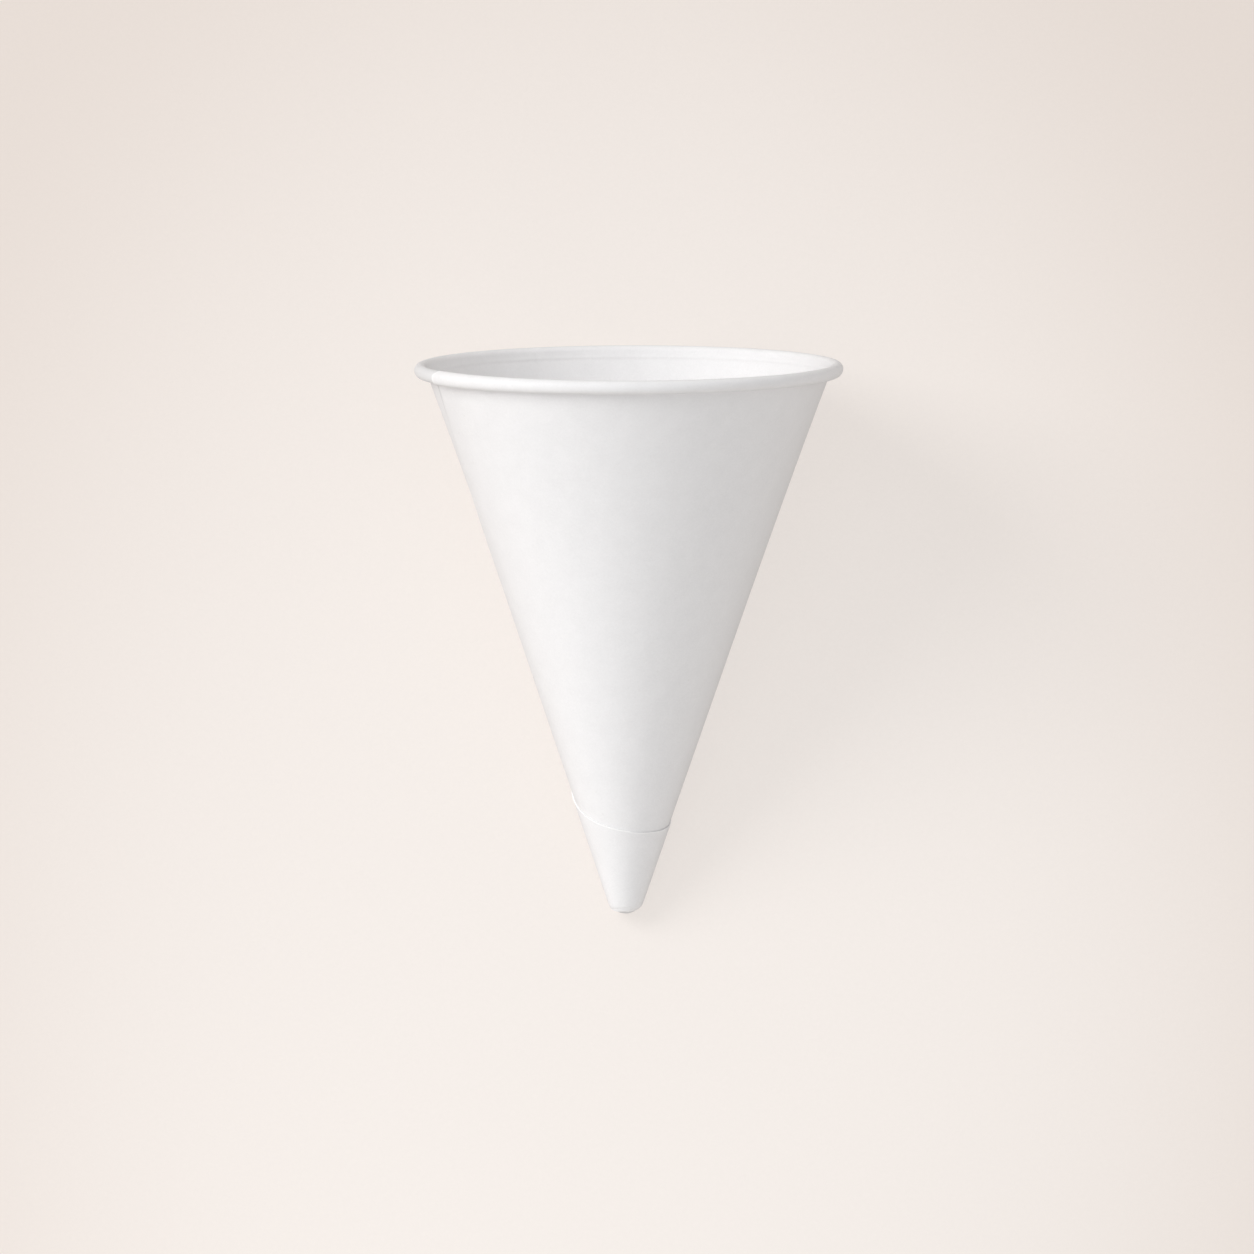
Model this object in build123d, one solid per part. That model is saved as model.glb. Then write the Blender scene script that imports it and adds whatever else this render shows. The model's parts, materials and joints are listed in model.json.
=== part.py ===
from build123d import *
import math
import os

# Cone water cup wound from one sheet of paper. All lengths are in millimetres and all angles
# in degrees. The cup is drawn upright about the Z axis with the middle of its rolled rim at
# height zero, and is laid on its side at the end. Directions round the axis are counted from
# the side that faces up when the cup lies down, toward +X.

# Sheet and overall sizes
paper = 0.18
rim_diameter = 73.0
cup_height = 94.2
tip_width = 4.17

# Rolled rim: a full round curl outside the wall, with a pressed crease inside under it
bead_diameter = 2.22
curl_gap = 0.12
crease_depth = 1.24
crease_inset = 1.30

# Flare of the upper wall: the depth where it starts, and how far it stands out at the crease
flare_depth = 42.85
flare_rise = 0.61

# Blunt tip: the first turn ends in a rounded nose, and the outer turns bend round it and stop
# with a lip a little above its bottom
nose_round = 1.4
nose_floor = 0.7
lip_height = 0.4
flap_lip_height = 0.7
step_height = 2.1

# Winding: the buried inner edge of the sheet, and the straight cut of its outer edge, which
# starts at the rim, runs down round the back and crosses the front just above the tip
inner_edge = -64.0
inner_step = 0.185
climb_turn = 84.0
outer_edge_at_rim = -75.0
cut_low_direction = 31.0
cut_distance = 21.9
cut_point_turn = 6.0
cut_points = 8
cut_start_radius = 0.7
flap_end = -120.0
flap_middle = -75.0

# Lap of the rolled rim: how far it stands out at its edge and the turn over which it fades
lap_edge = -68.0
lap_turn = 60.0
lap_rise = 0.17
lap_sink = 0.02
lap_stations = 6
lap_curl_end = 146.0

# Small flat spot that the rolled rim takes where the cup lies on it
flat_depth = 0.4

# Derived sizes: alpha is the half angle of the cone, and apex_z is where its sides would meet
bead_radius = bead_diameter / 2
bead_centre = rim_diameter / 2 - bead_radius
tip_z = bead_radius - cup_height
crease_r = bead_centre - crease_inset
alpha = math.atan((crease_r - flare_rise - tip_width / 2) / (-crease_depth - tip_z))
apex_z = tip_z - tip_width / 2 / math.tan(alpha)
flare_r = (-flare_depth - apex_z) * math.tan(alpha)
flare_chord = math.hypot(crease_r - flare_r, flare_depth - crease_depth)
flare_radius = flare_chord ** 2 / (2 * flare_rise * math.cos(alpha))
flare_centre_r = flare_r + flare_radius * math.cos(alpha)
flare_centre_z = -flare_depth - flare_radius * math.sin(alpha)
crease_slope = math.asin((-crease_depth - flare_centre_z) / flare_radius)
nose_r = tip_width / 2 - nose_round * math.tan(math.pi / 4 - alpha / 2)
nose_z = tip_z + nose_round
rim_lean = math.acos(cut_distance * math.cos(alpha) / -apex_z)
cut_turn = 360.0 + outer_edge_at_rim - cut_low_direction

# Bounds of the bodies that cut the cup, well past it
outside = rim_diameter
below = tip_z - cup_height
above = cup_height


def line(a, b):
    """Straight edge of the half section, between two (radius, height) points."""
    return Edge.make_line((a[0], 0, a[1]), (b[0], 0, b[1]))


def arc(a, b, c):
    """Arc of the half section through three (radius, height) points."""
    return Edge.make_three_point_arc((a[0], 0, a[1]), (b[0], 0, b[1]), (c[0], 0, c[1]))


def turned(edges, turn=360.0):
    """Solid of the half section turned round the Z axis."""
    return Solid.revolve(Face(Wire(edges)), turn, Axis.Z)


def flare_point(offset, slope):
    """Point of the flared wall where it leans by slope, moved outward from the sheet's face."""
    reach = flare_radius - offset
    return (flare_centre_r - reach * math.cos(slope), flare_centre_z + reach * math.sin(slope))


def slope_at(offset, z):
    """Lean of the flared wall at a height."""
    return math.asin((z - flare_centre_z) / (flare_radius - offset))


def cone_point(offset, z):
    """Point of the straight wall at a height, moved outward from the sheet's face."""
    return ((z - apex_z) * math.tan(alpha) + offset / math.cos(alpha), z)


def wall_arc(offset, top_slope):
    """Edge of the flared wall, from the straight part up to where it leans by top_slope."""
    middle = flare_point(offset, (alpha + top_slope) / 2)
    return arc(flare_point(offset, alpha), middle, flare_point(offset, top_slope))


def nose_point(offset, lean):
    """Point of the rounded nose, moved outward, where its face leans by an angle to the axis."""
    reach = nose_round + offset
    return (nose_r + reach * math.cos(lean), nose_z - reach * math.sin(lean))


def filled_wall(offset, bottom):
    """Solid within the wall's face moved outward by offset, from a height to the crease."""
    top_slope = slope_at(offset, -crease_depth)
    wall_end = nose_point(offset, alpha)
    if bottom < wall_end[1]:
        lip_lean = math.asin((nose_z - bottom) / (nose_round + offset))
        low = nose_point(offset, lip_lean)
        bend = [arc(low, nose_point(offset, (alpha + lip_lean) / 2), wall_end)]
    else:
        wall_end = low = cone_point(offset, bottom)
        bend = []
    outline = [
        line((0, bottom), low),
        *bend,
        line(wall_end, flare_point(offset, alpha)),
        wall_arc(offset, top_slope),
        line(flare_point(offset, top_slope), (0, -crease_depth)),
        line((0, -crease_depth), (0, bottom)),
    ]
    return turned(outline)


def shifted(solid, distance, direction):
    """Solid moved sideways, in a direction round the axis."""
    a = math.radians(direction)
    return solid.moved(Location((distance * math.sin(a), -distance * math.cos(a), 0)))


def wedge(start, end):
    """Sector round the axis between two directions, taller than the cup."""
    outline = [
        line((0, below), (outside, below)),
        line((outside, below), (outside, above)),
        line((outside, above), (0, above)),
        line((0, above), (0, below)),
    ]
    return turned(outline, end - start).rotate(Axis.Z, start - 90)


def above_cut(start, end):
    """Space above the straight cut of the outer edge, between two directions."""
    count = max(cut_points, round((end - start) / cut_point_turn))
    shares = [i / count for i in range(count + 1)]
    near = []
    far = []
    for share in shares:
        direction = start + (end - start) * share
        lean = rim_lean * (direction - cut_low_direction) / cut_turn
        z = apex_z + cut_distance * math.cos(alpha) / math.cos(lean)
        a = math.radians(direction)
        near.append(Vector(cut_start_radius * math.sin(a), -cut_start_radius * math.cos(a), z))
        far.append(Vector(outside * math.sin(a), -outside * math.cos(a), z))
    inner = Edge.make_spline(near, parameters=shares)
    outer = Edge.make_spline(far, parameters=shares)
    floor = Face.make_surface_from_curves(inner, outer)
    return Solid.extrude(floor, Vector(0, 0, above - below))


def first_turn():
    """The sheet's first turn with its curl, the crease under it and the closed nose."""
    inner_curl = bead_radius - paper
    middle_curl = bead_radius - paper / 2
    reach = math.hypot(crease_inset, crease_depth)
    toward = math.pi + math.atan2(crease_depth, crease_inset)
    leave = toward - math.acos(inner_curl / reach)
    stop = leave + math.acos(1 - (paper + curl_gap) / middle_curl) - 2 * math.pi
    top = (leave + stop) / 2

    def curl(radius, angle):
        return (bead_centre + radius * math.cos(angle), radius * math.sin(angle))

    crease_out = flare_point(0, crease_slope)
    collar_slope = math.pi - leave
    lean = (crease_slope + collar_slope) / 2
    miter = paper / math.cos((crease_slope - collar_slope) / 2)
    crease_in = (crease_out[0] - miter * math.cos(lean), crease_out[1] + miter * math.sin(lean))
    wall_in = flare_point(-paper, (alpha + slope_at(-paper, crease_in[1])) / 2)

    nose_flat = (nose_r, tip_z)
    nose_wall = nose_point(0, alpha)
    nose_edge = nose_point(0, math.pi / 4 + alpha / 2)
    floor_z = tip_z + nose_floor
    outline = [
        line((0, floor_z), cone_point(-paper, floor_z)),
        line(cone_point(-paper, floor_z), flare_point(-paper, alpha)),
        arc(flare_point(-paper, alpha), wall_in, crease_in),
        line(crease_in, curl(bead_radius, leave)),
        arc(curl(bead_radius, leave), curl(bead_radius, top), curl(bead_radius, stop)),
        line(curl(bead_radius, stop), curl(inner_curl, stop)),
        arc(curl(inner_curl, stop), curl(inner_curl, top), curl(inner_curl, leave)),
        line(curl(inner_curl, leave), crease_out),
        wall_arc(0, crease_slope),
        line(flare_point(0, alpha), nose_wall),
        arc(nose_wall, nose_edge, nose_flat),
        line(nose_flat, (0, tip_z)),
        line((0, tip_z), (0, floor_z)),
    ]
    return turned(outline)


def outer_turns():
    """The turns over the first one: the lap at the seam, the cover of the tip and its flap."""
    core = filled_wall(-paper / 2, tip_z + lip_height / 2)
    cover = filled_wall(paper, tip_z + lip_height)
    rising = shifted(filled_wall(paper, tip_z + flap_lip_height), paper, flap_middle)
    climb = shifted(filled_wall(0, tip_z + flap_lip_height), inner_step, inner_edge)
    start = inner_edge
    cover = cover.fuse(rising & wedge(start, flap_middle + climb_turn))
    cover = cover.cut(above_cut(start, 360 + outer_edge_at_rim))
    flap = (rising & wedge(flap_end, start)).cut(above_cut(flap_end, start))
    climb = climb & wedge(start, start + climb_turn)
    return [part.cut(core) for part in (cover, flap, climb)]


def inner_lap():
    """Room by which the last part of the first turn stands out, just past the inner edge."""
    room = filled_wall(-paper, tip_z + step_height)
    return shifted(room, inner_step, inner_edge) & wedge(inner_edge, inner_edge + climb_turn)


def curl_lap():
    """Second layer round the curl, thick at its cut edge and fading along the rim."""
    rings = []
    for i in range(lap_stations + 1):
        share = i / lap_stations
        direction = lap_edge + lap_turn * share
        rise = lap_rise * (1 + math.cos(math.pi * share)) / 2 - lap_sink
        a = math.radians(direction)
        centre = bead_centre + rise / 2 + lap_sink
        place = Plane(
            origin=(centre * math.sin(a), -centre * math.cos(a), 0),
            x_dir=(math.sin(a), -math.cos(a), 0),
            z_dir=(math.cos(a), math.sin(a), 0),
        )
        rings.append(Wire.make_circle(bead_radius + rise / 2, place))
    tube = Solid.make_loft(rings)
    hollow = Solid.make_torus(bead_centre, bead_radius - paper / 2)
    inside = bead_centre + bead_radius * math.cos(math.radians(lap_curl_end))
    mouth = Solid.make_cylinder(inside, above - below, Plane((0, 0, below)))
    return tube.cut(hollow, mouth)


def resting_tilt():
    """Lean of the axis off the floor when the cup lies on its rim and its wrapped tip."""
    nose_rest = nose_round + paper
    bead_rest = bead_radius - flat_depth
    run = math.hypot(bead_centre - nose_r, nose_z)
    tilt = math.atan2(bead_centre - nose_r, -nose_z) - math.asin((nose_rest - bead_rest) / run)
    return math.degrees(tilt)


def pressed_flat(cup):
    """The cup with its curl pressed flat, one sheet thick, where it lies on its rim."""
    tilt = math.radians(resting_tilt())
    rest = bead_radius - flat_depth
    into = Vector(0, -math.cos(tilt), math.sin(tilt))
    corner = Vector(0, bead_centre, 0) - into * rest - Vector(bead_centre, 0, 0)
    corner = corner - into.cross(Vector(1, 0, 0)) * bead_diameter
    floor = Plane(origin=corner, x_dir=(1, 0, 0), z_dir=into)
    sheet = Solid.make_box(2 * bead_centre, 2 * bead_diameter, paper, floor)
    floor.origin = corner - into * bead_radius
    under = Solid.make_box(2 * bead_centre, 2 * bead_diameter, bead_radius, floor)
    patch = sheet & Solid.make_torus(bead_centre, bead_radius - paper / 2)
    return cup.cut(under).fuse(patch)


def paper_cup():
    """The whole cup upright, as one solid."""
    cup = first_turn()
    for layer in outer_turns():
        cup = cup.fuse(layer)
    return pressed_flat(cup.cut(inner_lap()).fuse(curl_lap()))


def lying(cup):
    """The cup laid on its side, the mouth toward +Y, standing on height zero."""
    laid = cup.rotate(Axis.X, resting_tilt() - 90)
    box = laid.bounding_box()
    middle = box.center()
    return laid.moved(Location((-middle.X, -middle.Y, -box.min.Z)))


os.makedirs("parts", exist_ok=True)
export_step(lying(paper_cup()), "parts/paper_cup.step")
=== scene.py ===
import json
import math

import bpy
from bpy.props import FloatProperty, FloatVectorProperty, PointerProperty
from mathutils import Matrix, Vector


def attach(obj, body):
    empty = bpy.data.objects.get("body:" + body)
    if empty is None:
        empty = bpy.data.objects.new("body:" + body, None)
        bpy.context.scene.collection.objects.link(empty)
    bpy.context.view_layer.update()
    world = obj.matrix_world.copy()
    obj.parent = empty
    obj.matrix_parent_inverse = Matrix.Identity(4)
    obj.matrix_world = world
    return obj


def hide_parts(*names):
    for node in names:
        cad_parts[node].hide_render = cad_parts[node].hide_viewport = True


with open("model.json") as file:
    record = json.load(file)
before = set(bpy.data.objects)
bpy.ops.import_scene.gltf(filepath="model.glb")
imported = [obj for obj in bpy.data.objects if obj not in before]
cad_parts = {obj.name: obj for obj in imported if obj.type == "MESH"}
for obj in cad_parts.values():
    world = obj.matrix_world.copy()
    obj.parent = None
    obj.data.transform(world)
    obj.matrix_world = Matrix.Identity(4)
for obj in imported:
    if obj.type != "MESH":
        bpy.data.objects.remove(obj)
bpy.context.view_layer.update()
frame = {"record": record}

bl_info = {
    "name": "Cone Paper Cup",
    "version": (1, 0, 0),
    "blender": (4, 5, 0),
    "location": "3D View > Sidebar > Paper Cup",
    "description": "Dresses a wound paper cone cup and sets it on a plain studio floor",
    "category": "Add Mesh",
}

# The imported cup, and the line of its axis as it lies on its rim and its tip. The rim's
# middle is a little nearer the mouth than the seat under it.
NODE = "paper_cup"
SEAT = frame["record"]["mounts"][0]
AXIS = -Vector(SEAT["axis"]).normalized()
FACE_UP = Vector((1, 0, 0)).cross(AXIS)
SEAT_DEPTH = 0.00129
RIM_CENTRE = Vector(SEAT["pos_m"]) + AXIS * SEAT_DEPTH

# Shape of the cup upright, in millimetres from the middle of its rim. Directions round the
# axis are counted in degrees from the side that faces up, toward +X, and the sheet winds
# against them: its turn runs from the buried inner edge to the end of the flap.
PAPER = 0.18
BEAD_CENTRE = 35.39
BEAD_RADIUS = 1.098
TIP = -93.075
TIP_RADIUS = 2.085
CREASE = (34.09, -1.24)
FLARE_DEPTH = 42.85
FLARE_RISE = 0.61
NOSE_ROUND = 2.2
NOSE_FLOOR = 0.7
CORNER_ROUND = 0.5

# Rim: where its curl leaves the wall and where it stops, how much taller its lower half is,
# its slant and the heights over which that sets in, and the ridge pressed in inside it
LEAVE = math.radians(164.8)
STOP = math.radians(-150.1)
BEAD_STRETCH = 1.10
RIM_SLANT = math.radians(0.45)
SLANT_FOOT = -32.0
SLANT_SPAN = 29.0
RIDGE = -0.75
RIDGE_RISE = 0.075
RIDGE_WIDTH = 0.22

# Lap of the rim: its edge with a rounded upper corner, the turn over which it fades, how far
# it stands out, the painted shade on the rim beside it, and the faint dark joint inside
LAP_EDGE = -65.5
LAP_CORNER = 1.6
LAP_TURN = 60.0
LAP_RISE = 0.17
LAP_SHADE = 0.6
SHADE_START = -48.0
SHADE_TURN = 44.0
JOINT = -152.0
JOINT_WIDTH = 0.45
JOINT_GREY = 0.22

# Winding: the buried inner edge and the turn over which the sheet climbs it, and the
# distance from layer to layer, a little less for the first turn
INNER_EDGE = -64.0
CLIMB = 84.0
LAYER = 0.19
LAYER_PLAY = 0.005

# Outer turns: they start almost flush, and their straight cut begins at the rim, is lowest
# on the right and ends at the flap. Past the nick it lies a little higher, and before the
# seam the sheet is tucked under the rim.
START_TURN = 61.5
START_SINK = 0.003
START_RISE = 0.009
START_FADE = 8.0
RIM_EDGE = 72.0
SEAM_END = 120.0
# Height over which the painted shadow beside the seam fades out down the wall
SEAM_SHADOW_FADE = 9.0
SEAM_PRESS = 0.13
LOW_EDGE = 329.0
EDGE_LIFT = 0.055
NICK = 355.0
NICK_DROP = 0.12
FLAP_EDGE = 480.0
CUT_DISTANCE = 21.9
TUCK = 0.5

# Tip: the two lips over its bottom with the turn at which one gives way to the other, the
# groove above them, and the squeeze from all sides and from the right
LIPS = (0.42, 0.56)
LIP_TURN = 400.0
LIP_FADE = 30.0
GROOVE_HEIGHT = 1.0
GROOVE_DEPTH = 0.07
GROOVE_WIDTH = 0.13
GROOVE_START = 290.0
GROOVE_TURN = 90.0
GROOVE_FADE = 25.0
SQUEEZE = 0.06
SQUEEZE_RIGHT = 0.28
SQUEEZE_REACH = 1.9

# Unevenness of the wall: its depth, and waves by height, number round the cup, phase and
# twist for each millimetre of height
SAG = 0.05
SAG_WAVES = ((1.0, 3, 0.0, 0.02), (0.7, 5, 1.3, 0.035), (0.4, 9, 0.0, 0.06))

# Metres by which the cup stays off the floor plane, and the join distance of the meshes
FLOOR_GAP = 0.000001
MERGE_DISTANCE = 5e-7

ALPHA = math.atan((CREASE[0] - FLARE_RISE - TIP_RADIUS) / (CREASE[1] - TIP))
APEX = TIP - TIP_RADIUS / math.tan(ALPHA)
FLARE_R = (-FLARE_DEPTH - APEX) * math.tan(ALPHA)
FLARE_CHORD = math.hypot(CREASE[0] - FLARE_R, FLARE_DEPTH + CREASE[1])
FLARE_RADIUS = FLARE_CHORD ** 2 / (2 * FLARE_RISE * math.cos(ALPHA))
FLARE_CENTRE = (FLARE_R + FLARE_RADIUS * math.cos(ALPHA),
                -FLARE_DEPTH - FLARE_RADIUS * math.sin(ALPHA))
NOSE_R = TIP_RADIUS - NOSE_ROUND * math.tan(math.pi / 4 - ALPHA / 2)
NOSE_Z = TIP + NOSE_ROUND
RIM_LEAN = math.acos(CUT_DISTANCE * math.cos(ALPHA) / -APEX)

# Framing of the photograph, in metres
PHOTO_SIDE_M = 0.21355
VIEW_ABOVE_MOUTH = math.radians(4.9)
CAMERA_DISTANCE = 3.0
CENTRE_BELOW_RIM = 0.04405
CENTRE_RIGHT = -0.00009
ROLL = math.radians(0.27)
SENSOR = 36.0

# Floor, and lamps by their direction across the cup, out of its upper side and along it
FLOOR_SIDE = 6.0
FLOOR_MOTTLE = 0.0006
LAMP_DISTANCE = 1.6
KEY_DIRECTION = (-0.71, 0.52, 0.48)
KEY_SIDE = 0.9
FILL_DIRECTION = (0.96, 0.12, 0.24)
FILL_SIDE = 1.5
BOUNCE_OFFSET = (-0.08, 0.16, -0.16)
BOUNCE_SIDE = 0.12

# Paper: the height of its relief in metres, and by colour and strength its specks, its painted
# shade with the dark joint, and the painted highlights along its edges
RELIEF_HEIGHT = 0.00003
MARKS = (
    ("Speck", (0.50, 0.46, 0.40, 1.0), 0.10),
    ("JointAndShade", (0.66, 0.66, 0.665, 1.0), 0.75),
    ("EdgeHighlight", (0.995, 0.995, 0.995, 1.0), 0.95),
)

# Range that most of a noise texture stays in, and the sockets of a Mix node for colours
NOISE_RANGE = (0.3, 0.7)
MIX_SHARE, MIX_FIRST, MIX_SECOND, MIX_RESULT = 0, 6, 7, 2
NODE_STEP = 180


class PaperSettings(bpy.types.PropertyGroup):
    """Colour and surface of the paper."""
    colour: FloatVectorProperty(
        name="Paper colour", description="Bleached white of the sheet",
        subtype="COLOR", default=(0.905, 0.898, 0.903), min=0.0, max=1.0)
    roughness: FloatProperty(
        name="Roughness", description="Mean roughness of the uncoated sheet",
        default=0.62, min=0.0, max=1.0)
    fibre_size: FloatProperty(
        name="Fibre size", description="Size of the matted fibres, in millimetres",
        default=0.38, min=0.05, max=5.0)
    relief: FloatProperty(
        name="Relief", description="Strength of the sheet's fine relief",
        default=0.32, min=0.0, max=1.0)
    edge_shade: FloatProperty(
        name="Edge shade",
        description="How much darker the sheet looks when seen along its surface",
        default=0.23, min=0.0, max=1.0)


class StageSettings(bpy.types.PropertyGroup):
    """Floor, lamps and world."""
    floor_colour: FloatVectorProperty(
        name="Floor colour", description="Warm pale studio floor",
        subtype="COLOR", default=(0.885, 0.82, 0.77), min=0.0, max=1.0)
    backdrop_colour: FloatVectorProperty(
        name="Backdrop colour", description="Pale warm colour that the floor shows to the camera",
        subtype="COLOR", default=(0.935, 0.883, 0.845), min=0.0, max=1.0)
    # Painted light: the floor's camera colour dims toward this colour away from the cup.
    far_colour: FloatVectorProperty(
        name="Far backdrop colour",
        description="What the floor shows to the camera away from the cup",
        subtype="COLOR", default=(0.765, 0.68, 0.625), min=0.0, max=1.0)
    backdrop_share: FloatProperty(
        name="Backdrop share", description="Share of the backdrop colour in what the camera sees",
        default=0.66, min=0.0, max=1.0)
    key_power: FloatProperty(
        name="Key light", description="Power of the large soft lamp on the left",
        default=15.0, min=0.0, unit="POWER")
    fill_power: FloatProperty(
        name="Fill light", description="Power of the weak lamp on the right",
        default=3.45, min=0.0, unit="POWER")
    bounce_power: FloatProperty(
        name="Bounce light", description="Power of the small soft lamp beyond the tip",
        default=0.06, min=0.0, unit="POWER")
    world_strength: FloatProperty(
        name="World light", description="Strength of the even light from all sides",
        default=0.59, min=0.0)


class NodeMaker:
    """Adds nodes to a tree. Inputs are given as values or as the sockets that feed them."""

    def __init__(self, tree):
        self.tree = tree
        self.column = 0

    def node(self, kind, inputs=None, **settings):
        """New node with its settings and its inputs."""
        made = self.tree.nodes.new(kind)
        self.column += 1
        made.location = (self.column * NODE_STEP, 0)
        for name, value in settings.items():
            setattr(made, name, value)
        self.feed(made, inputs or {})
        return made

    def feed(self, node, inputs):
        """Sets or joins inputs of a node."""
        for socket, value in inputs.items():
            if isinstance(value, bpy.types.NodeSocket):
                self.tree.links.new(value, node.inputs[socket])
            else:
                node.inputs[socket].default_value = value

    def calculate(self, operation, *numbers):
        """Result of a Math node."""
        made = self.node("ShaderNodeMath", dict(enumerate(numbers)), operation=operation)
        return made.outputs[0]

    def scale(self, vector, factor):
        """Vector or colour times a number."""
        made = self.node("ShaderNodeVectorMath", {0: vector, "Scale": factor}, operation="SCALE")
        return made.outputs[0]

    def remap(self, source, old, new=(0.0, 1.0), **settings):
        """Number taken from its old range to a new one."""
        made = self.node("ShaderNodeMapRange", {
            "Value": source, "From Min": old[0], "From Max": old[1],
            "To Min": new[0], "To Max": new[1]}, **settings)
        return made.outputs["Result"]

    def mix(self, share, first, second):
        """Mix of two colours by the share of the second."""
        made = self.node("ShaderNodeMix", {
            MIX_SHARE: share, MIX_FIRST: first, MIX_SECOND: second}, data_type="RGBA")
        return made.outputs[MIX_RESULT]

    def group(self, tree, inputs):
        """Outputs of a node group placed in the tree."""
        return self.node("ShaderNodeGroup", inputs, node_tree=tree).outputs


def new_group(name, inputs, outputs):
    """Empty node group: its maker, what it is given, and the node that takes its results."""
    tree = bpy.data.node_groups.new(name, "ShaderNodeTree")
    for sockets, way in ((inputs, "INPUT"), (outputs, "OUTPUT")):
        for label, kind in sockets.items():
            tree.interface.new_socket(label, in_out=way, socket_type="NodeSocket" + kind)
    maker = NodeMaker(tree)
    return maker, maker.node("NodeGroupInput").outputs, maker.node("NodeGroupOutput")


def paper_surface_group():
    """Cloudy formation, matted fibres and long soft waves, built once for cup and floor."""
    if "paper_surface" in bpy.data.node_groups:
        return bpy.data.node_groups["paper_surface"]
    maker, given, result = new_group(
        "paper_surface", {"Place": "Vector", "Fibre Size": "Float"},
        {"Cloud": "Float", "Fibre": "Float", "Speck": "Float", "Height": "Float"})
    place = given["Place"]
    fibre = maker.node("ShaderNodeTexNoise", {
        "Vector": place, "Scale": maker.calculate("DIVIDE", 1.0, given["Fibre Size"]),
        "Detail": 4.0, "Roughness": 0.62, "Distortion": 1.2}).outputs["Fac"]
    cloud = maker.node("ShaderNodeTexNoise", {
        "Vector": place, "Scale": 330.0, "Detail": 3.0, "Roughness": 0.55}).outputs["Fac"]
    stretch = maker.node("ShaderNodeMapping", {"Vector": place, "Scale": (1.0, 1.0, 0.12)})
    wave = maker.node("ShaderNodeTexNoise", {
        "Vector": stretch.outputs["Vector"], "Scale": 90.0, "Detail": 2.0}).outputs["Fac"]
    grain = maker.node("ShaderNodeTexVoronoi", {"Vector": place, "Scale": 160.0}, feature="F1")
    speck = maker.remap(grain.outputs["Distance"], (0.045, 0.02))
    matted = maker.calculate("MULTIPLY_ADD", cloud, 1.6, fibre)
    height = maker.calculate("MULTIPLY_ADD", wave, 4.0, matted)
    maker.feed(result, {"Cloud": cloud, "Fibre": fibre, "Speck": speck, "Height": height})
    return maker.tree


def paper_tone_group():
    """Colour and roughness of the sheet from its formation, specks, painted shade with the dark
    joint, and painted edge highlights.
    """
    maker, given, result = new_group(
        "paper_tone",
        {"Colour": "Color", "Roughness": "Float", "Cloud": "Float", "Fibre": "Float",
         "Speck": "Float", "EdgeHighlight": "Float", "JointAndShade": "Float"},
        {"Colour": "Color", "Roughness": "Float"})
    shade = maker.calculate(
        "MULTIPLY", maker.remap(given["Cloud"], NOISE_RANGE, (0.974, 1.0)),
        maker.remap(given["Fibre"], NOISE_RANGE, (0.950, 1.0)))
    colour = maker.scale(given["Colour"], shade)
    # Mixed into the colour: specks, painted shade with the dark joint, painted edge highlights.
    for mark, tint, strength in MARKS:
        colour = maker.mix(maker.calculate("MULTIPLY", given[mark], strength), colour, tint)
    uneven = maker.remap(given["Cloud"], NOISE_RANGE, (-0.05, 0.05))
    rough = maker.calculate("ADD", given["Roughness"], uneven)
    # Rougher where the edge highlights are painted.
    rough = maker.calculate("MULTIPLY_ADD", given["EdgeHighlight"], 0.18, rough)
    maker.feed(result, {"Colour": colour, "Roughness": rough})
    return maker.tree


def away_group():
    """Share of painted dimming, growing with the distance from the bright middle of the floor."""
    maker, given, result = new_group("away_from_middle", {"Place": "Vector"}, {"Share": "Float"})
    oval = maker.node("ShaderNodeMapping", {
        "Vector": given["Place"], "Location": (0.0, -0.058, 0.0),
        "Scale": (0.090, 0.142, 1.0)}, vector_type="TEXTURE")
    distance = maker.node(
        "ShaderNodeVectorMath", {0: oval.outputs["Vector"]}, operation="LENGTH")
    square = maker.calculate("POWER", distance.outputs["Value"], 2.0)
    share = maker.remap(square, (0.0, 2.7), interpolation_type="SMOOTHSTEP")
    maker.feed(result, {"Share": share})
    return maker.tree


def paper_material():
    """Bleached uncoated paper, with painted shade where it is seen along its surface."""
    settings = bpy.context.scene.cup_paper
    material = bpy.data.materials.new("white_paper")
    material.use_nodes = True
    maker = NodeMaker(material.node_tree)
    where = maker.node("ShaderNodeTexCoord").outputs["Object"]
    along_axis = maker.node("ShaderNodeMapping", {
        "Vector": where, "Location": RIM_CENTRE,
        "Rotation": (-math.atan2(AXIS.y, AXIS.z), 0.0, 0.0)}, vector_type="TEXTURE")
    surface = maker.group(paper_surface_group(), {
        "Place": along_axis.outputs["Vector"], "Fibre Size": settings.fibre_size / 1000})
    edge_highlight = maker.node("ShaderNodeAttribute", attribute_name="painted_edge_highlight")
    joint_and_shade = maker.node("ShaderNodeAttribute", attribute_name="joint_and_painted_shade")
    tone = maker.group(paper_tone_group(), {
        "Colour": (*settings.colour, 1.0), "Roughness": settings.roughness,
        "Cloud": surface["Cloud"], "Fibre": surface["Fibre"], "Speck": surface["Speck"],
        "EdgeHighlight": edge_highlight.outputs["Fac"], "JointAndShade": joint_and_shade.outputs["Fac"]})

    # Painted shade: the colour darkens where the sheet is seen edge-on, toward its outline.
    grazing = maker.node("ShaderNodeLayerWeight", {"Blend": 0.5})
    square = maker.calculate("POWER", grazing.outputs["Facing"], 2.0)
    darker = maker.calculate("MULTIPLY_ADD", square, -settings.edge_shade, 1.0)
    bump = maker.node("ShaderNodeBump", {
        "Strength": settings.relief, "Distance": RELIEF_HEIGHT, "Height": surface["Height"]})
    maker.feed(material.node_tree.nodes["Principled BSDF"], {
        "Base Color": maker.scale(tone["Colour"], darker), "Roughness": tone["Roughness"],
        "Normal": bump.outputs["Normal"]})
    return material


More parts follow.
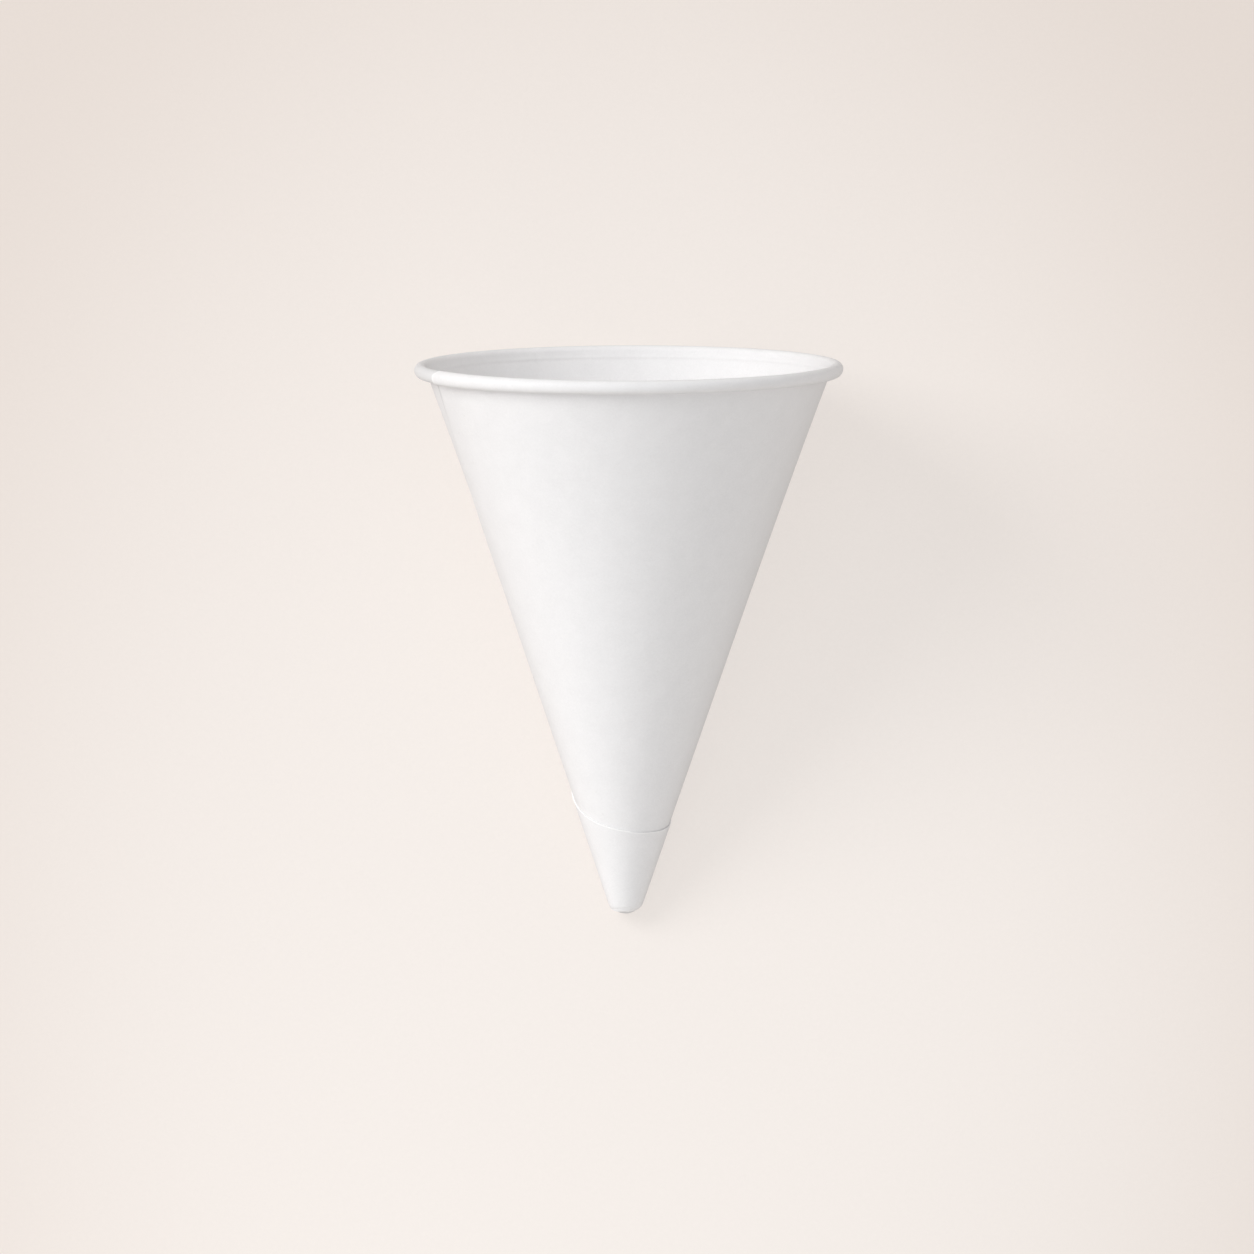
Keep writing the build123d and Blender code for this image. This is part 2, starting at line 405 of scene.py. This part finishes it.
def floor_material():
    """Warm card that takes shadows and shows the camera a share of a pale backdrop."""
    settings = bpy.context.scene.cup_stage
    material = bpy.data.materials.new("floor_card")
    material.use_nodes = True
    maker = NodeMaker(material.node_tree)
    shader = material.node_tree.nodes["Principled BSDF"]
    maker.feed(shader, {"Base Color": (*settings.floor_colour, 1.0), "Roughness": 0.9})
    where = maker.node("ShaderNodeTexCoord").outputs["Object"]
    away = maker.group(away_group(), {"Place": where})
    # Painted fall-off of light: the backdrop dims toward the far colour away from the middle.
    colour = maker.mix(
        away["Share"], (*settings.backdrop_colour, 1.0), (*settings.far_colour, 1.0))
    mottle = maker.group(paper_surface_group(), {"Place": where, "Fibre Size": FLOOR_MOTTLE})
    tint = maker.remap(mottle["Fibre"], NOISE_RANGE, (0.97, 1.0))
    glow = maker.node("ShaderNodeEmission", {"Color": maker.scale(colour, tint)})
    rays = maker.node("ShaderNodeLightPath").outputs
    seen = maker.calculate("MAXIMUM", rays["Is Camera Ray"], rays["Is Glossy Ray"])
    share = maker.calculate("MULTIPLY", seen, settings.backdrop_share)
    mix = maker.node(
        "ShaderNodeMixShader", {0: share, 1: shader.outputs[0], 2: glow.outputs[0]})
    maker.feed(material.node_tree.nodes["Material Output"], {"Surface": mix.outputs[0]})
    return material


def select_only(obj):
    """Makes one object the only selected and active one."""
    bpy.ops.object.select_all(action="DESELECT")
    obj.select_set(True)
    bpy.context.view_layer.objects.active = obj


def smooth(share):
    """Soft step from 0 to 1."""
    share = min(max(share, 0.0), 1.0)
    return share * share * (3.0 - 2.0 * share)


def bell(distance, width):
    """Soft bump of height 1 round zero distance."""
    return math.exp(-(distance / width) ** 2)


def spread(start, end, count, power=1.0):
    """Numbers from start to end, closer together near the start when power is over 1."""
    return [start + (end - start) * (i / count) ** power for i in range(count + 1)]


def nose(reach, lean):
    """Point and normal of the rounded tip where its face leans by lean."""
    out, down = math.cos(lean), math.sin(lean)
    return NOSE_R + reach * out, NOSE_Z - reach * down, out, -down


def wall(offset, z):
    """Point and outward normal of the wall's face at a height, moved outward by offset."""
    reach = NOSE_ROUND + offset
    if z < NOSE_Z - reach * math.sin(ALPHA):
        return nose(reach, math.asin(min((NOSE_Z - z) / reach, 1.0)))
    reach = FLARE_RADIUS - offset
    lean = math.asin((z - FLARE_CENTRE[1]) / reach)
    if lean <= ALPHA:
        r = (z - APEX) * math.tan(ALPHA) + offset / math.cos(ALPHA)
        return r, z, math.cos(ALPHA), -math.sin(ALPHA)
    return FLARE_CENTRE[0] - reach * math.cos(lean), z, math.cos(lean), -math.sin(lean)


def curl(radius, angle):
    """Point and normal of the rim's curl."""
    out, up = math.cos(angle), math.sin(angle)
    return BEAD_CENTRE + radius * out, radius * up, out, up


def climb(direction):
    """How far the first turn has climbed over the buried inner edge, from 0 to 1."""
    turn = (direction - INNER_EDGE) % 360.0
    return smooth(1.0 - turn / CLIMB)


def sag(direction, z):
    """Slight unevenness of the wound wall, always inward."""
    a = math.radians(direction)
    wave = sum(high * math.sin(count * a + phase + twist * z)
               for high, count, phase, twist in SAG_WAVES)
    share = (1.0 + wave / sum(high for high, *rest in SAG_WAVES)) / 2
    return -SAG * share * smooth(-z / 12.0) * smooth((z - TIP) / 20.0)


def squeeze(direction, z):
    """Inward push of the soft tip, stronger on its right."""
    side = max(math.sin(math.radians(direction - 10.0)), 0.0)
    push = SQUEEZE + SQUEEZE_RIGHT * side
    return -push * smooth((TIP + SQUEEZE_REACH - z) / SQUEEZE_REACH)


def groove(direction, z):
    """Depth of the slightly wavy groove pressed round the front of the tip."""
    above = z - TIP - GROOVE_HEIGHT - 0.12 * math.sin(math.radians(direction) * 2 + 0.6)
    along = (direction - GROOVE_START) % 360.0
    ends = smooth(along / GROOVE_FADE) * smooth((GROOVE_TURN - along) / GROOVE_FADE)
    return GROOVE_DEPTH * bell(above, GROOVE_WIDTH) * ends


def place(r, z, direction):
    """Point of the lying cup, in metres, its rim slanted a little toward +X."""
    a = math.radians(direction)
    z += r * math.sin(a) * math.tan(RIM_SLANT) * smooth((z - SLANT_FOOT) / SLANT_SPAN)
    outward = Vector((math.sin(a), 0, 0)) + FACE_UP * math.cos(a)
    return RIM_CENTRE + outward * (r / 1000) + AXIS * (z / 1000)


def wound_grid(name, columns, rows, shape):
    """Grid moved and marked by shape(column, row), with its seams and poles closed."""
    bpy.ops.object.select_all(action="DESELECT")
    bpy.ops.mesh.primitive_grid_add(
        x_subdivisions=columns - 1, y_subdivisions=rows - 1, size=2.0)
    made = bpy.context.object
    made.name = name
    edge_highlight = made.data.attributes.new("painted_edge_highlight", "FLOAT", "POINT")
    shade_and_joint = made.data.attributes.new("joint_and_painted_shade", "FLOAT", "POINT")
    for i, vertex in enumerate(made.data.vertices):
        column = round((vertex.co.x + 1.0) / 2.0 * (columns - 1))
        row = round((vertex.co.y + 1.0) / 2.0 * (rows - 1))
        vertex.co, edge_highlight.data[i].value, shade_and_joint.data[i].value = shape(column, row)
    bpy.ops.object.mode_set(mode="EDIT")
    bpy.ops.mesh.select_all(action="SELECT")
    bpy.ops.mesh.remove_doubles(threshold=MERGE_DISTANCE)
    bpy.ops.mesh.select_all(action="SELECT")
    bpy.ops.mesh.normals_make_consistent(inside=False)
    bpy.ops.object.mode_set(mode="OBJECT")
    return made


def first_section():
    """Half section of the first turn, from the bottom of its inside over the rim to the tip.

    Each point has a radius, a height, a normal and the kind of face that it lies on."""
    bottom = TIP + NOSE_FLOOR
    corner = wall(-PAPER, bottom + CORNER_ROUND)[0]
    rows = [(r, bottom, 0, 1, "bottom") for r in spread(0.0, corner - CORNER_ROUND, 3)]
    rows.append((corner - 0.15, bottom + 0.15, 0, 1, "bottom"))
    heights = spread(bottom + CORNER_ROUND, -12.0, 26, 1.3)
    heights += spread(-12.0, CREASE[1] - 1.8, 14)[1:]
    heights += spread(CREASE[1] - 1.6, CREASE[1] - 0.1, 9)
    rows += [(*wall(-PAPER, z), "inside") for z in heights]
    low, high = wall(-PAPER, CREASE[1] + 0.06), curl(BEAD_RADIUS, LEAVE)
    collar = zip(spread(low[0], high[0], 8)[:-1], spread(low[1], high[1], 8)[:-1])
    rows += [(r, z, 1, 0, "collar") for r, z in collar]
    rows += [(*curl(BEAD_RADIUS, a), "bead") for a in spread(LEAVE, STOP, 36)]
    rows += [(*curl(BEAD_RADIUS - PAPER, a), "hollow") for a in spread(STOP, LEAVE, 16)]
    heights = spread(CREASE[1] - 0.4, NOSE_Z - NOSE_ROUND * math.sin(ALPHA), 44)
    rows += [(*wall(0, z), "outside") for z in [CREASE[1]] + heights]
    rows += [(*nose(NOSE_ROUND, a), "nose") for a in spread(ALPHA, math.pi / 2, 8)[1:]]
    rows += [(r, TIP, 0, -1, "nose") for r in spread(NOSE_R * 0.7, 0.0, 2)]
    return rows


def first_turn():
    """The sheet's first turn with its curl and its closed nose."""
    rows = first_section()
    fine = spread(LAP_EDGE - 0.45, LAP_EDGE + 2.25, 18) + spread(JOINT - 0.6, JOINT + 0.6, 4)
    fine += [INNER_EDGE - 0.1, INNER_EDGE]
    even = [d for d in spread(-180.0, 180.0, 240) if all(abs(d - f) > 0.4 for f in fine)]
    directions = sorted(set(even + fine))

    def shape(column, row):
        direction = directions[column]
        r, z, nr, nz, kind = rows[row]
        edge_highlight = shade_and_joint = 0.0
        if kind in ("inside", "outside"):
            rise = (LAYER - LAYER_PLAY) * climb(direction)
            if kind == "inside":
                rise *= smooth((z - TIP - 2.0) / 4.0) * smooth(CREASE[1] - z)
            rise += sag(direction, z)
            r += rise * nr
            z += rise * nz
        if kind in ("inside", "collar"):
            r -= RIDGE_RISE * bell(z - RIDGE, RIDGE_WIDTH)
            if z > CREASE[1] - 0.3:
                shade_and_joint = JOINT_GREY * bell(direction - JOINT, JOINT_WIDTH)
        if kind == "outside" or kind == "nose" and r > 0.0:
            r = max(r + squeeze(direction, z), 0.02)
        # Painted shade on the underside of the closed nose.
        if kind == "nose":
            shade_and_joint = 1.0
        if kind == "bead":
            past = direction - (LAP_EDGE + LAP_CORNER * smooth((nz - 0.35) / 0.6))
            around = smooth((r - BEAD_CENTRE + 0.45) / 0.9)
            # Painted highlight along the lap's edge.
            edge_highlight = 0.5 * around * bell(past - 0.5, 0.5)
            # Painted shade on the rim left of the lap, strongest at its edge.
            if past < 0.0:
                shade_and_joint = LAP_SHADE * smooth((past - SHADE_START) / SHADE_TURN)
            else:
                rise = LAP_RISE * (1 + math.cos(math.pi * min(past / LAP_TURN, 1.0))) / 2
                r += rise * nr * around
                z += rise * nz * around
        if kind in ("bead", "hollow") and z < 0.0:
            z *= BEAD_STRETCH
        point = place(r, z, direction)
        point.z = max(point.z, PAPER / 1000 if kind == "hollow" else FLOOR_GAP)
        return point, edge_highlight, shade_and_joint

    return wound_grid("first_turn", len(directions), len(rows), shape)


def layer(turn):
    """Distance of a turn of the sheet from the outside of the first one."""
    first = -INNER_EDGE - CLIMB
    over = smooth((turn - first) / CLIMB) + smooth((turn - first - 360.0) / CLIMB)
    return LAYER * over - START_SINK + START_RISE * smooth((turn - START_TURN) / START_FADE)


def lip(turn):
    """Height at which the sheet stops at the tip, a little uneven."""
    a = math.radians(turn)
    share = smooth((turn - LIP_TURN) / LIP_FADE)
    uneven = 0.05 * math.sin(a * 2.3) + 0.03 * math.sin(a * 7.0)
    return TIP + LIPS[0] + (LIPS[1] - LIPS[0]) * share + uneven


def cut_height(turn):
    """Height of the sheet's straight cut at a turn of the winding."""
    lean = RIM_LEAN * (LOW_EDGE - max(turn, RIM_EDGE)) / (LOW_EDGE - RIM_EDGE)
    return min(CREASE[1] + 0.05, APEX + CUT_DISTANCE * math.cos(ALPHA) / math.cos(lean))


def top_height(turn):
    """Height at which the sheet ends, with its nick and its tuck under the rim."""
    tucked = smooth((turn + INNER_EDGE + 0.5) / 0.5) * smooth((RIM_EDGE - turn) / 0.75)
    return cut_height(turn) - (NICK_DROP if turn < NICK else 0.0) + TUCK * tucked


def from_edge(turn, r, z):
    """Distance of a point of the sheet from its outer edge."""
    if turn > RIM_EDGE + 0.5:
        steep = (cut_height(turn - 0.5) - cut_height(turn + 0.5)) / math.radians(1.0)
        return max(top_height(turn) - z, 0.0) * r / math.hypot(r, steep)
    return (RIM_EDGE + max(-z, 0.0) / 2.4 - turn) * math.radians(r)


def lift(turn, inward):
    """How far the sheet stands off beside its outer edge, less where the seam is pressed."""
    loose = EDGE_LIFT * smooth((NICK - turn) / 20.0) * smooth((turn - 266.0) / 24.0)
    loose *= 1.0 + 0.25 * math.sin(math.radians(turn) * 11.0)
    pressed = SEAM_PRESS * smooth((SEAM_END - turn) / 30.0)
    return loose * math.exp(-inward / 0.45) - pressed * bell(inward, 0.8)


def outer_section(turn):
    """Points and normals of the outer sheet at one turn, from its lip up to its cut."""
    reach = NOSE_ROUND + layer(turn)
    lean = math.asin((NOSE_Z - lip(turn)) / reach)
    bend = spread(lean, ALPHA, 12)[:-1]
    bend_end = NOSE_Z - reach * math.sin(ALPHA)
    near = [bend_end + z for z in spread(0.0, 3.2, 20, 1.15)]
    edge = [top_height(turn) - z for z in (1.1, 0.7, 0.42, 0.3, 0.2, 0.1, 0.0)]
    heights = near + spread(near[-1], edge[0], 31)[1:-1] + edge
    return [nose(reach, a) for a in bend] + [wall(layer(turn), z) for z in heights]


def outer_turns():
    """The turns over the first one, down to the lip at the tip and out to the flap's end."""
    turns = spread(START_TURN, 69.0, 15) + spread(69.0, 76.5, 30)[1:]
    turns += spread(76.5, FLAP_EDGE, 269)[1:]
    sections = [outer_section(turn) for turn in turns]

    def shape(column, row):
        turn = turns[column]
        direction = -turn
        r, z, nr, nz = sections[column][row]
        rise = sag(direction, z) + squeeze(direction, z) - groove(direction, z)
        # Painted highlight along the lip at the tip.
        edge_highlight = 1.0 - smooth((z - lip(turn) - 0.1) / 0.14)
        shade_and_joint = 0.0
        if turn > RIM_EDGE - 6.0 and z > TIP + 3:
            inward = from_edge(turn, r, z)
            rise += lift(turn, inward)
            if turn < SEAM_END:
                # Beside the seam near the rim: painted shadow in a band along the edge, no
                # painted highlight.
                edge_highlight = 0.0
                shade_and_joint = bell(inward - 0.5, 0.5) * smooth((z + SEAM_SHADOW_FADE) / 6.0)
            else:
                # Elsewhere a painted highlight along the straight cut, weaker right of the nick.
                edge_highlight = 1.0 - smooth((inward - 0.11) / 0.15)
                edge_highlight *= 1.0 - 0.45 * smooth((NICK + 2.0 - turn) / 4.0)
        point = place(r + rise * nr, z + rise * nz, direction)
        point.z = max(point.z, FLOOR_GAP)
        return point, edge_highlight, shade_and_joint

    return wound_grid("outer_turns", len(turns), len(sections[0]), shape)


def from_cup(across, out, along):
    """Offset given across the cup, out of its upper side and along its axis."""
    return Vector((across, 0, 0)) + FACE_UP * out + AXIS * along


def add_lamp(name, target, offset, side, power):
    """Square lamp at an offset from its target, turned toward it."""
    data = bpy.data.lights.new(name, "AREA")
    data.shape = "RECTANGLE"
    data.size = data.size_y = side
    data.energy = power
    lamp = bpy.data.objects.new(name, data)
    bpy.context.scene.collection.objects.link(lamp)
    lamp.location = target + offset
    lamp.rotation_mode = "QUATERNION"
    lamp.rotation_quaternion = (-offset).to_track_quat("-Z", "Y")


def add_camera(target):
    """Camera that looks down on the lying cup as the photograph shows it."""
    rise = VIEW_ABOVE_MOUTH + CENTRE_BELOW_RIM / CAMERA_DISTANCE
    toward = FACE_UP * math.cos(rise) + AXIS * math.sin(rise)
    up = AXIS * math.cos(rise) - FACE_UP * math.sin(rise)
    right = up.cross(toward)
    data = bpy.data.cameras.new("camera")
    data.sensor_width = SENSOR
    data.lens = SENSOR * CAMERA_DISTANCE / PHOTO_SIDE_M
    data.clip_end = 20.0
    camera = bpy.data.objects.new("camera", data)
    bpy.context.scene.collection.objects.link(camera)
    turn = Matrix((right, up, toward)).transposed().to_4x4()
    spot = Matrix.Translation(target + right * CENTRE_RIGHT + toward * CAMERA_DISTANCE)
    camera.matrix_world = spot @ turn @ Matrix.Rotation(ROLL, 4, "Z")
    bpy.context.scene.camera = camera


class CUP_OT_paper_cup(bpy.types.Operator):
    """Wind the cup from its sheet and give it its paper"""
    bl_idname = "cup.paper_cup"
    bl_label = "Paper cup"

    def execute(self, context):
        body = first_turn()
        sheet = outer_turns()
        select_only(sheet)
        bpy.ops.object.modifier_add(type="SOLIDIFY")
        sheet.modifiers[-1].thickness = PAPER / 1000
        sheet.modifiers[-1].offset = -1.0
        bpy.ops.object.modifier_apply(modifier=sheet.modifiers[-1].name)
        select_only(body)
        sheet.select_set(True)
        bpy.ops.object.join()
        body.name = "wound_cup"
        bpy.ops.object.shade_smooth_by_angle(angle=math.radians(35.0))
        body.data.materials.append(paper_material())
        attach(body, "root")
        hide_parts(NODE)
        return {"FINISHED"}


class CUP_OT_stage(bpy.types.Operator):
    """Add the floor, the lamps, the world and the camera"""
    bl_idname = "cup.stage"
    bl_label = "Stage"

    def execute(self, context):
        settings = context.scene.cup_stage
        bpy.ops.object.select_all(action="DESELECT")
        bpy.ops.mesh.primitive_plane_add(size=FLOOR_SIDE, location=(0, 0, 0))
        floor = context.object
        floor.name = "floor"
        floor.data.materials.append(floor_material())

        target = RIM_CENTRE - AXIS * CENTRE_BELOW_RIM
        key = from_cup(*KEY_DIRECTION).normalized() * LAMP_DISTANCE
        fill = from_cup(*FILL_DIRECTION).normalized() * LAMP_DISTANCE
        bounce = from_cup(*BOUNCE_OFFSET)
        add_lamp("key_lamp", target, key, KEY_SIDE, settings.key_power)
        add_lamp("fill_lamp", target, fill, FILL_SIDE, settings.fill_power)
        add_lamp("bounce_lamp", target, bounce, BOUNCE_SIDE, settings.bounce_power)

        world = bpy.data.worlds.new("studio")
        context.scene.world = world
        world.use_nodes = True
        back = world.node_tree.nodes["Background"]
        back.inputs["Color"].default_value = (1.0, 1.0, 1.0, 1.0)
        back.inputs["Strength"].default_value = settings.world_strength
        add_camera(target)
        context.scene.view_settings.view_transform = "Standard"
        return {"FINISHED"}


class CUP_PT_panel(bpy.types.Panel):
    """The cup's settings and steps"""
    bl_idname = "CUP_PT_panel"
    bl_label = "Paper Cup"
    bl_space_type = "VIEW_3D"
    bl_region_type = "UI"
    bl_category = "Paper Cup"

    def draw(self, context):
        for settings in (context.scene.cup_paper, context.scene.cup_stage):
            box = self.layout.box()
            for name in settings.bl_rna.properties.keys():
                if name not in ("rna_type", "name"):
                    box.prop(settings, name)
        self.layout.operator("cup.paper_cup")
        self.layout.operator("cup.stage")


CLASSES = (PaperSettings, StageSettings, CUP_OT_paper_cup, CUP_OT_stage, CUP_PT_panel)


def register():
    for kind in CLASSES:
        bpy.utils.register_class(kind)
    bpy.types.Scene.cup_paper = PointerProperty(type=PaperSettings)
    bpy.types.Scene.cup_stage = PointerProperty(type=StageSettings)


def unregister():
    del bpy.types.Scene.cup_stage
    del bpy.types.Scene.cup_paper
    for kind in reversed(CLASSES):
        bpy.utils.unregister_class(kind)


def main():
    register()
    bpy.ops.cup.paper_cup()
    bpy.ops.cup.stage()


if __name__ == "__main__":
    main()
